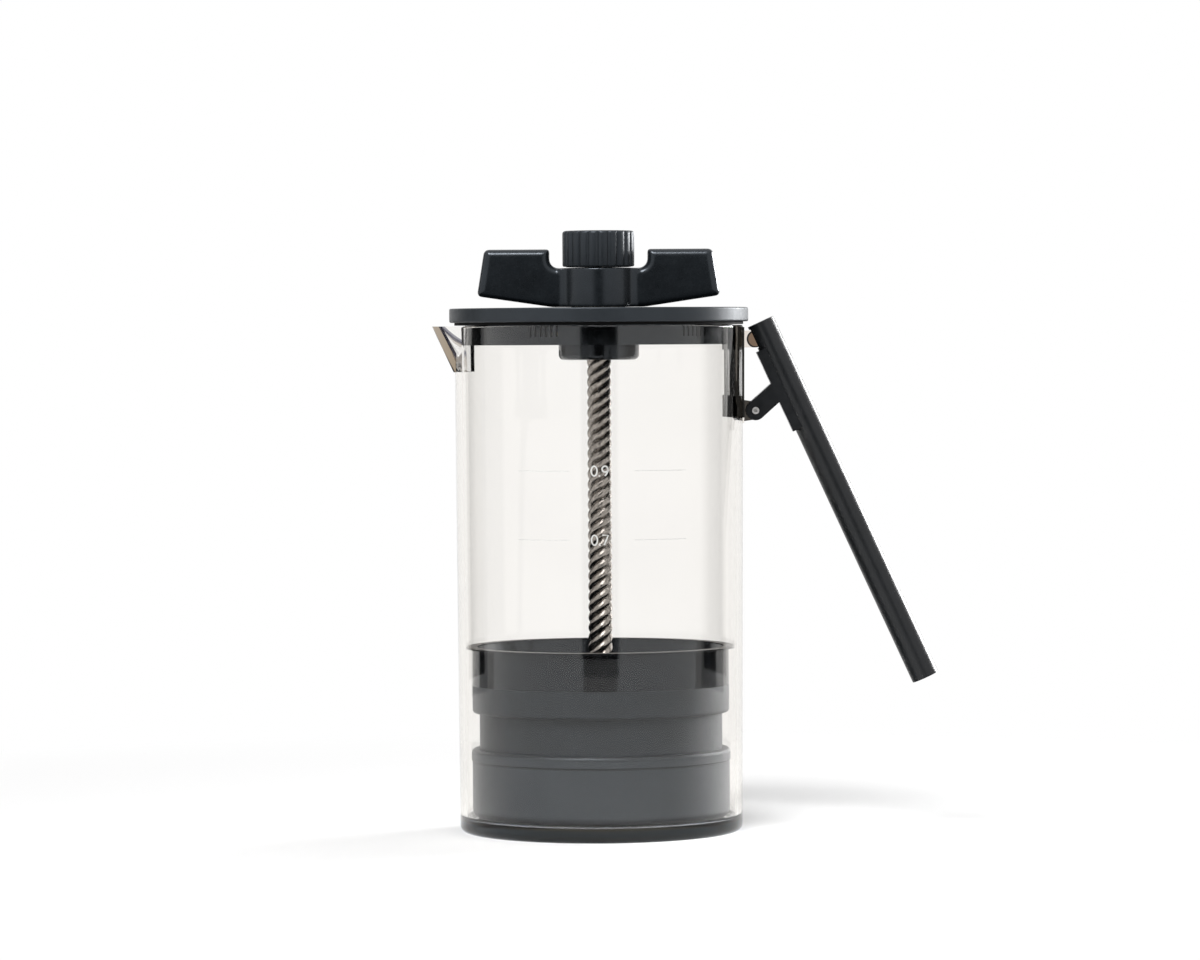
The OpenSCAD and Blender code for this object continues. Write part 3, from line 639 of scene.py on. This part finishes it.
# Share of the rim's radius from which the spout's sides draw in
SPOUT_START = 0.9
LIP_W = 20.0
LIP_CORNER = 4.0
LEAST_CORNER = 0.5
LUG_HALF = 2.0
PAD_HALF = 5.0
PAD_OUT = 0.5
PAD_BELOW = 0.4
EAR_R = 3.3
EAR_ROOT = 4.1
BOSS_R = 3.1
BOSS_DROP = 5.2
BOSS_OUT = 4.6
PIN_GAP = 0.05
HOLE_POINTS = 24
# Cutters reach this far past what they cut
CUT = 1.0

carafe_low, carafe_high = box_mm("carafe")
CARAFE_H = carafe_high.z
RIM_R = carafe_high.y
LIP_X = -carafe_low.x
pin_low, pin_high = box_mm("hinge_pin")
PIN_X = (pin_low.x + pin_high.x) / 2
PIN_Z = (pin_low.z + pin_high.z) / 2
PIN_R = (pin_high.z - pin_low.z) / 2


def carafe_r(z):
    """Outer radius of the wall at a height."""
    return BASE_R + (RIM_R - BASE_R) * z / CARAFE_H


def spout_solid(name, inset, shift, top):
    """The spout's outside, or its channel when drawn in by an inset."""
    low = CARAFE_H - SPOUT_DEPTH
    wall_w = SPOUT_W / 2 - inset
    lip_w = LIP_W / 2 - inset
    corner = max(LIP_CORNER - inset, LEAST_CORNER)
    tip = LIP_X - inset
    root = RIM_R * SPOUT_START
    floor_x = carafe_r(low) - shift
    side = (wall_w - lip_w) / (tip - root)
    floor_w = wall_w - side * max(floor_x - root, 0)
    lip = arc(corner - tip, lip_w - corner, corner, 90 + math.degrees(math.atan(side)), 180)
    points = []
    for sign in (-1, 1):
        points += [(-RIM_R / 2, sign * wall_w, z) for z in (low, top)]
        points += [(-root, sign * wall_w, z) for z in (low, top)]
        points.append((-floor_x, sign * floor_w, low))
        points += [(x, sign * y, top) for x, y in lip]
    return hull(name, points)


def lug_solids():
    """Pad, hinge ear and stop boss on the handle's side."""
    pad_low = PIN_Z - EAR_ROOT - PAD_BELOW
    pad = []
    for z in (pad_low, CARAFE_H - RIM_EDGE):
        reach = carafe_r(z) + PAD_OUT
        half_angle = math.degrees(math.asin(PAD_HALF / reach))
        pad += [(x, y, z) for x, y in arc(0, 0, reach, -half_angle, half_angle)]
        pad += [(carafe_r(z) - WALL / 2, y, z) for y in (-PAD_HALF, PAD_HALF)]
    yield hull("pad", pad)
    root = carafe_r(PIN_Z) - WALL / 2
    boss_z = CARAFE_H - BOSS_DROP
    for name, x, z, radius, foot in (
        ("ear", PIN_X, PIN_Z, EAR_R, EAR_ROOT),
        ("boss", carafe_r(boss_z) + BOSS_OUT, boss_z, BOSS_R, BOSS_R),
    ):
        outline = arc(x, z, radius, -90, 90, steps=24) + [(root, z + foot), (root, z - foot)]
        yield plate(name, outline, LUG_HALF)


def carafe_outside():
    """Profile of the beaker's outside."""
    rim_z = CARAFE_H - RIM_EDGE
    profile = arc(BASE_R - BASE_EDGE, BASE_EDGE, BASE_EDGE, -90, 0)
    profile += [(carafe_r(z), z) for z in (BASE_EDGE + EDGE_RING, rim_z - EDGE_RING)]
    profile += arc(RIM_R - RIM_EDGE, rim_z, RIM_EDGE, 0, 90)
    return profile


def carafe_inside():
    """Profile of the space in the beaker, open at its rounded rim."""
    rim_z = CARAFE_H - RIM_EDGE
    floor_z = CARAFE_FLOOR + INNER_EDGE
    inner_r = carafe_r(CARAFE_FLOOR) - WALL
    mouth_r = RIM_R - WALL + RIM_EDGE
    profile = arc(inner_r - INNER_EDGE, floor_z, INNER_EDGE, -90, 0)
    profile += [(carafe_r(z) - WALL, z) for z in (floor_z + EDGE_RING, rim_z - EDGE_RING)]
    profile += arc(mouth_r, rim_z, RIM_EDGE, 180, 90)
    profile.append((mouth_r, CARAFE_H + CUT))
    return profile


def carafe_piece():
    """Clear beaker with its spout and lug, hollowed by one core."""
    carafe = lathe("carafe_shell", carafe_outside(), SHELL_SEGMENTS)
    for solid in (spout_solid("spout", 0, 0, CARAFE_H), *lug_solids()):
        combine(carafe, solid, "UNION")
    combine(carafe, lathe("core", carafe_inside(), SHELL_SEGMENTS), "DIFFERENCE")
    slope = (LIP_X - carafe_r(CARAFE_H - SPOUT_DEPTH)) / SPOUT_DEPTH
    channel_shift = SPOUT_WALL * math.hypot(1, slope)
    combine(carafe, spout_solid("channel", SPOUT_WALL, channel_shift, CARAFE_H + CUT), "DIFFERENCE")
    last_angle = 360 - 360 / HOLE_POINTS
    hole = arc(PIN_X, PIN_Z, PIN_R + PIN_GAP, 0, last_angle, HOLE_POINTS - 1)
    combine(carafe, plate("hole", hole, 2 * LUG_HALF), "DIFFERENCE")
    return smooth(carafe)


carafe = carafe_piece()
stand_for(carafe, "carafe")
# Lamps shine through the clear wall onto the plunger
carafe.visible_shadow = False

# Lead screw

THREAD_STARTS = 4
THREAD_LEAD = 15.0
THREAD_DEPTH = 0.9
THREAD_END_GAP = 0.1
JOURNAL_R = 3.0
POINTS_PER_START = 16
SLICE = 0.5
SCREW_HUB_TOP = 34.3
SCREW_POINTS = THREAD_STARTS * POINTS_PER_START


def thread_turn(z):
    """Angle that the thread has turned through at a height."""
    return 2 * math.pi * z / THREAD_LEAD


def journal(z, turn_z):
    """Plain ring of the screw, turned as the thread is at a height."""
    return circle(JOURNAL_R, z, SCREW_POINTS, thread_turn(turn_z))


def thread_ring(radius, z):
    """Ring of the screw with a rounded ridge for each start."""
    turn = thread_turn(z)
    ring = []
    for i in range(SCREW_POINTS):
        a = 2 * math.pi * i / SCREW_POINTS
        r = radius - THREAD_DEPTH * (1 - abs(math.cos(a * THREAD_STARTS / 2)))
        ring.append((r * math.cos(a + turn), r * math.sin(a + turn), z))
    return ring


def screw_piece():
    """Multi-start screw. Its rings turn as they climb, so that the mesh runs along the ridges."""
    low, high = box_mm("lead_screw")
    thread_top = box_mm("knob_bush")[0].z - THREAD_END_GAP
    slices = round((thread_top - SCREW_HUB_TOP) / SLICE)
    rings = [journal(z, SCREW_HUB_TOP) for z in (low.z, SCREW_HUB_TOP)]
    for k in range(slices + 1):
        rings.append(thread_ring(high.y, SCREW_HUB_TOP + (thread_top - SCREW_HUB_TOP) * k / slices))
    rings += [journal(z, thread_top) for z in (thread_top, high.z)]
    return smooth(skin("screw", rings), angle=50)


stand_for(screw_piece(), "lead_screw")

# Wing handle

WING_TIP_DROP = 17.1
WING_LEAN = 2.75
WING_HALF_T = 4.5
WING_EDGE = 2.7
WING_EDGE_STEPS = 6
WING_FLAT = 17.0
WING_BELLY_R = 12.0
WING_TIP_R = 1.5
WING_TOP_R = 2.0
NOTCH_X = 18.0
NOTCH_R = 3.3
NOTCH_TOP_R = 0.8
LEAST_R = 0.05
HUB_R = 12.9
HUB_H = 14.3
HUB_SEGMENTS = 128
HUB_FILLET = 4.0
FILLET_INSET = 0.1
WASHER_GAP = 0.1
SPINDLE_R = 9.0
NUT_R = 7.0
NUT_LEN = 22.0
SCREW_HOLE_R = 4.85
BORE_SEGMENTS = 96
WING_VOXEL = 0.3
WING_SOFTENING = 20


def drawn_in(corners, inset):
    """Corners of an outline moved inwards, with their radii kept concentric."""
    moved = []
    for n, (x, z, radius) in enumerate(corners):
        here = Vector((x, z))
        ahead = (Vector(corners[(n + 1) % len(corners)][:2]) - here).normalized()
        behind = (here - Vector(corners[n - 1][:2])).normalized()
        first, second = (Vector((-d.y, d.x)) for d in (behind, ahead))
        bulge = 1 if behind.cross(ahead) > 0 else -1
        place = here + (first + second) * inset / (1 + first.dot(second))
        moved.append((*place, max(radius - bulge * inset, LEAST_R)))
    return moved


def soft_plate(name, corners, half, edge):
    """Plate to both sides of Y = 0 whose edges are rounded all the way round."""
    rings = []
    for side in (-1, 1):
        for i in range(WING_EDGE_STEPS + 1):
            share = i if side < 0 else WING_EDGE_STEPS - i
            a = math.pi / 2 * share / WING_EDGE_STEPS
            outline = rounded(drawn_in(corners, edge * (1 - math.sin(a))))
            y = side * (half - edge * (1 - math.cos(a)))
            rings.append([(x, y, z) for x, z in outline])
    return skin(name, rings)


def hub_fillets(low, high):
    """Solids that blend the hub into the wings' faces."""
    level = WING_HALF_T + HUB_FILLET
    middle = math.sqrt((HUB_R + HUB_FILLET) ** 2 - level ** 2)
    end = math.degrees(math.atan2(level, middle))
    outline = arc(middle, level, HUB_FILLET, 270, 180 + end)
    # Closed inside the hub and the wing
    outline += [(HUB_R / 2, HUB_R / 3), (HUB_R / 2, 1), (middle, 1)]
    for turn_x in (-1, 1):
        for turn_y in (-1, 1):
            yield skin("fillet", [[(turn_x * x, turn_y * y, z) for x, y in outline] for z in (low, high)])


def wing_piece():
    """Wings, hub and spindle in one moulding with soft edges."""
    low, high = box_mm("wing_handle")
    foot = box_mm("thrust_washer")[1].z + WASHER_GAP
    shoulder = foot + HUB_H
    nut_top = low.z + NUT_LEN
    sides = [
        (WING_FLAT, foot, WING_BELLY_R),
        (high.x, high.z - WING_TIP_DROP, WING_TIP_R),
        (high.x - WING_LEAN, high.z, WING_TOP_R),
        (NOTCH_X, high.z, NOTCH_TOP_R),
        (NOTCH_X, shoulder, NOTCH_R),
    ]
    corners = sides + [(-x, z, r) for x, z, r in reversed(sides)]
    wing = soft_plate("wings", corners, WING_HALF_T, WING_EDGE)
    hub = [(SPINDLE_R, low.z), (SPINDLE_R, foot), (HUB_R, foot), (HUB_R, shoulder)]
    fillets = hub_fillets(foot + FILLET_INSET, shoulder - FILLET_INSET)
    for solid in (lathe("hub", hub, HUB_SEGMENTS), *fillets):
        combine(wing, solid, "UNION")
    bore = [(NUT_R, low.z - CUT), (NUT_R, nut_top), (SCREW_HOLE_R, nut_top), (SCREW_HOLE_R, high.z)]
    combine(wing, lathe("bore", bore, BORE_SEGMENTS), "DIFFERENCE")
    return smooth(soften(wing, WING_VOXEL, WING_SOFTENING), angle=70)


stand_for(wing_piece(), "wing_handle")

# Knob

RIBS = 22
RIB_POINTS = 12
RIB_FULLNESS = 1.6
GROOVE_DEPTH = 0.6
KNOB_EDGE = 1.1
# How far the grip's lower edge is drawn in, at heights above it
KNOB_FOOT = ((0.5, 0), (0.15, 0.15), (0, 0.5))
KNOB_POINTS = RIBS * RIB_POINTS
BOSS_GAP_R = 11.9
BOSS_GAP_H = 0.2
CAP_R = 9.83
CAP_T = 1.6
CAP_CHAMFER_OUT = 0.3
CAP_CHAMFER_DOWN = 0.2
CLIP_ROOM_R = 5.6
BUSH_R = 4.68


def ribbed(radius, z, depth):
    """Ring with broad ribs and narrow grooves."""
    ring = []
    for i in range(KNOB_POINTS):
        a = 2 * math.pi * i / KNOB_POINTS
        r = radius - depth * (1 - abs(math.cos(a * RIBS / 2))) ** RIB_FULLNESS
        ring.append((r * math.cos(a), r * math.sin(a), z))
    return ring


def knob_piece():
    """Fluted grip with a seat for its cap, room for the clip and a bore for the bush."""
    low, high = box_mm("knob")
    bush_low, bush_high = box_mm("knob_bush")
    grip_low = low.z + BOSS_GAP_H
    edge_z = high.z - KNOB_EDGE
    cap_z = high.z - CAP_T
    foot = ((SCREW_HOLE_R, low.z), (BOSS_GAP_R, low.z), (BOSS_GAP_R, grip_low))
    rings = [circle(r, z, KNOB_POINTS) for r, z in foot]
    rings += [ribbed(high.x - inset, grip_low + up, GROOVE_DEPTH) for inset, up in KNOB_FOOT]
    for r, z in arc(high.x - KNOB_EDGE, edge_z, KNOB_EDGE, 0, 90, steps=8):
        rings.append(ribbed(r, z, GROOVE_DEPTH * (1 - ((z - edge_z) / KNOB_EDGE) ** 2)))
    inside = (
        (CAP_R + CAP_CHAMFER_OUT, high.z),
        (CAP_R, high.z - CAP_CHAMFER_DOWN),
        (CAP_R, cap_z),
        (CLIP_ROOM_R, cap_z),
        (CLIP_ROOM_R, bush_high.z),
        (BUSH_R, bush_high.z),
        (BUSH_R, bush_low.z),
        (SCREW_HOLE_R, bush_low.z),
    )
    rings += [circle(r, z, KNOB_POINTS) for r, z in inside]
    return smooth(skin("knob_grip", rings, closed=True), angle=40)


stand_for(knob_piece(), "knob")

# Fill marks: plain numbers of litres between short lines

MARKS = ((133.7, "0.9"), (109.0, "0.7"))
MARK_LINES = ((-31.1, -11.2), (12.6, 32.9))
MARK_HALF = 0.1
MARK_STEPS = 12
DIGIT_HALF = 0.26
DIGIT_H = 3.5
DIGIT_W = 2.1
DIGIT_STEP = 2.7
POINT_STEP = 1.2
ROUND_STEPS = 28
LOOP_STEPS = 24
TAIL_R = 1.5 * DIGIT_W
TAIL_TURN = -50
SEVEN_FOOT = 0.3 * DIGIT_W
INK_GAP = 0.01
INK_T = 0.06


def digit_strokes(digit):
    """Strokes of one digit or a point, from its lower left corner."""
    mid = DIGIT_W / 2
    if digit == "0":
        ring = arc(0, 0, 1, 0, 360, ROUND_STEPS)
        return [[(mid + mid * x, DIGIT_H / 2 * (1 + z)) for x, z in ring]]
    if digit == "9":
        loop = arc(mid, DIGIT_H - mid, mid, 0, 360, LOOP_STEPS)
        tail = arc(DIGIT_W - TAIL_R, DIGIT_H - mid, TAIL_R, 0, TAIL_TURN)
        return [loop, tail]
    if digit == "7":
        return [[(0, DIGIT_H), (DIGIT_W, DIGIT_H), (SEVEN_FOOT, 0)]]
    return [[(0, 0), (2 * DIGIT_HALF, 0)]]


def number_strokes(text, base):
    """Strokes of a number, centred on the front."""
    widths = [POINT_STEP if c == "." else DIGIT_STEP for c in text]
    start = -(sum(widths) - (DIGIT_STEP - DIGIT_W)) / 2
    strokes = []
    for n, c in enumerate(text):
        shift = start + sum(widths[:n])
        for stroke in digit_strokes(c):
            strokes.append([(x + shift, z + base) for x, z in stroke])
    return strokes


def ribbon(stroke, half):
    """Quads of even width along a stroke, as pairs of left and right points."""
    pairs = []
    for n, point in enumerate(stroke):
        before = Vector(stroke[max(n - 1, 0)])
        after = Vector(stroke[min(n + 1, len(stroke) - 1)])
        along = (after - before).normalized()
        side = Vector((-along.y, along.x)) * half
        pairs.append((Vector(point) + side, Vector(point) - side))
    return pairs


def mark_ribbons():
    """Ribbons of the lines and numbers, laid out flat."""
    for z, text in MARKS:
        for left, right in MARK_LINES:
            line = [(left + (right - left) * i / MARK_STEPS, z) for i in range(MARK_STEPS + 1)]
            yield ribbon(line, MARK_HALF)
        for stroke in number_strokes(text, z - DIGIT_H / 2):
            yield ribbon(stroke, DIGIT_HALF)


def on_wall(across, z, out):
    """Point on the front of the carafe's wall, this far out from it."""
    radius = carafe_r(z) + INK_GAP + out
    a = across / carafe_r(z)
    return radius * math.sin(a), -radius * math.cos(a), z


def marks_piece():
    """White print on the front of the carafe: each ribbon is a thin closed strip."""
    verts = []
    faces = []
    for pairs in mark_ribbons():
        start = len(verts)
        for pair in pairs:
            verts += [on_wall(across, z, out) for out in (0, INK_T) for across, z in pair]
        for k in range(len(pairs) - 1):
            a = start + 4 * k
            for i, j in ((0, 1), (1, 3), (3, 2), (2, 0)):
                faces.append((a + i, a + j, a + 4 + j, a + 4 + i))
        for end in (start, len(verts) - 4):
            faces.append((end, end + 1, end + 3, end + 2))
    marks = add_mesh("fill_marks", verts, faces)
    dress(marks, white_ink)
    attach(marks, "carafe")


marks_piece()

# Studio, in metres

FLOOR_ALBEDO = 0.9
FLOOR_LIFT = 0.06
FLOOR_FADE = (0.06, 0.45)
FLOOR_NEAR = 0.7
FLOOR_FAR = 6.0
FLOOR_DROP = 0.2 * MM
FLOOR_SEGMENTS = 96
WORLD_LIGHT = 0.2
GAP_COLOUR = (0.012, 0.012, 0.013)
# Dark gaps between the white panels round the table: middle and half width, in degrees from the front
GAPS = ((0, 15), (107, 15), (-121, 13))
GAP_SOFTNESS = 0.08
GAP_TOP = (0.5, 0.6)


def seen_rays(tree):
    """1 for rays that show the studio, and 1 for those of them that were mirrored or bent on the way."""
    path = tree.nodes.new("ShaderNodeLightPath")
    direct = math_node(tree, "LESS_THAN", path.outputs["Diffuse Depth"], 0.5)
    bent = any_of(tree, path.outputs["Is Glossy Ray"], path.outputs["Is Transmission Ray"])
    bent = all_of(tree, bent, direct)
    return any_of(tree, bent, path.outputs["Is Camera Ray"]), bent


def panel_mask(tree):
    """1 on the white panels round the table, 0 in the gaps between them."""
    coordinates = tree.nodes.new("ShaderNodeTexCoord")
    axes = tree.nodes.new("ShaderNodeSeparateXYZ")
    tree.links.new(coordinates.outputs["Generated"], axes.inputs["Vector"])
    front = math_node(tree, "MULTIPLY", axes.outputs["Y"], -1)
    azimuth = math_node(tree, "ARCTAN2", axes.outputs["X"], front)
    beside = []
    for middle, half in GAPS:
        away = math_node(tree, "ABSOLUTE", math_node(tree, "SUBTRACT", azimuth, math.radians(middle)))
        edges = [math.radians(half * (1 + soft)) for soft in (-GAP_SOFTNESS, GAP_SOFTNESS)]
        beside.append(spread(tree, away, 0, 1, *edges))
    above = spread(tree, axes.outputs["Z"], 0, 1, *GAP_TOP)
    return any_of(tree, above, all_of(tree, *beside))


def studio_world():
    """White behind the object. Light and reflections come from white panels with dark gaps between them."""
    world = bpy.data.worlds.new("studio")
    scene.world = world
    world.use_nodes = True
    tree = world.node_tree
    background = tree.nodes["Background"]
    seen, bent = seen_rays(tree)
    behind = math_node(tree, "SUBTRACT", seen, bent)
    white = any_of(tree, panel_mask(tree), behind)
    tree.links.new(spread(tree, seen, WORLD_LIGHT, 1.0, 0, 1), background.inputs["Strength"])
    tree.links.new(blend_colours(tree, white, GAP_COLOUR, (1, 1, 1), 0, 1), background.inputs["Color"])


def floor_material():
    """Pale floor. Farther off, what is seen of it fades into the white background."""
    material, tree, shader = principled(
        "floor",
        Base_Color=(FLOOR_ALBEDO,) * 3 + (1,),
        Roughness=1.0,
        Specular_IOR_Level=0.0,
        Emission_Color=(1, 1, 1, 1),
    )
    seen, _ = seen_rays(tree)
    tree.links.new(math_node(tree, "MULTIPLY", seen, FLOOR_LIFT), shader.inputs["Emission Strength"])
    coordinates = tree.nodes.new("ShaderNodeTexCoord")
    reach = tree.nodes.new("ShaderNodeVectorMath")
    reach.operation = "LENGTH"
    tree.links.new(coordinates.outputs["Object"], reach.inputs[0])
    fade = all_of(tree, spread(tree, reach.outputs["Value"], 0, 1, *FLOOR_FADE), seen)
    white = tree.nodes.new("ShaderNodeEmission")
    blend = tree.nodes.new("ShaderNodeMixShader")
    tree.links.new(fade, blend.inputs["Fac"])
    tree.links.new(shader.outputs["BSDF"], blend.inputs[1])
    tree.links.new(white.outputs["Emission"], blend.inputs[2])
    tree.links.new(blend.outputs["Shader"], tree.nodes["Material Output"].inputs["Surface"])
    return material


def studio_floor():
    """Floor that takes shadows. Its far ring isn't mirrored, so that the panels are."""
    count = FLOOR_SEGMENTS
    rings = [circle(r / MM, -FLOOR_DROP / MM, count) for r in (FLOOR_NEAR, FLOOR_FAR)]
    quads = [(i, (i + 1) % count, count + (i + 1) % count, count + i) for i in range(count)]
    near = add_mesh("floor_near", rings[0], [range(count)])
    far = add_mesh("floor_far", rings[0] + rings[1], quads)
    far.visible_glossy = False
    far.visible_transmission = False
    material = floor_material()
    for floor in (near, far):
        dress(floor, material)


def soft_box(name, place, aim, size, power):
    """Rectangular lamp that points at a target. The clear walls show it on their outside only."""
    lamp = bpy.data.lights.new(name, "AREA")
    lamp.shape = "RECTANGLE"
    lamp.size, lamp.size_y = size
    lamp.energy = power
    obj = bpy.data.objects.new(name, lamp)
    scene.collection.objects.link(obj)
    obj.location = place
    obj.rotation_mode = "QUATERNION"
    obj.rotation_quaternion = (Vector(aim) - Vector(place)).to_track_quat("-Z", "Y")
    obj.visible_camera = False
    obj.visible_transmission = False


studio_world()
studio_floor()
soft_box("main", place=(-0.25, -0.75, 1.15), aim=(0, 0, 0.12), size=(0.5, 0.36), power=16)
soft_box("rim", place=(1.01, 0.72, 0.4), aim=(0, 0, 0.18), size=(0.6, 0.3), power=19)

# Photograph's camera

PHOTO_W = 1200
FOCAL_PX = 4930
SENSOR = 36.0
CAMERA_DISTANCE = 1.812
CAMERA_HEIGHT = 0.1815
CAMERA_SIDE = 0.00014
CAMERA_PITCH = math.radians(1.66)
CAMERA_ROLL = 0.00568


def studio_camera():
    """Camera in front of the object, turned down a little and rolled by a hair."""
    data = bpy.data.cameras.new("camera")
    data.sensor_width = SENSOR
    data.sensor_fit = "HORIZONTAL"
    data.lens = FOCAL_PX * SENSOR / PHOTO_W
    camera = bpy.data.objects.new("camera", data)
    scene.collection.objects.link(camera)
    ahead = Vector((0, math.cos(CAMERA_PITCH), -math.sin(CAMERA_PITCH)))
    side = Vector((1, 0, 0))
    up = side.cross(ahead)
    right = side * math.cos(CAMERA_ROLL) - up * math.sin(CAMERA_ROLL)
    up = up * math.cos(CAMERA_ROLL) + side * math.sin(CAMERA_ROLL)
    turn = Matrix((right, up, -ahead)).transposed().to_4x4()
    camera.matrix_world = Matrix.Translation((CAMERA_SIDE, -CAMERA_DISTANCE, CAMERA_HEIGHT)) @ turn
    scene.camera = camera


studio_camera()

scene.view_settings.view_transform = "Standard"
scene.cycles.use_denoising = True
scene.cycles.max_bounces = 24
scene.cycles.transmission_bounces = 16
scene.cycles.transparent_max_bounces = 16
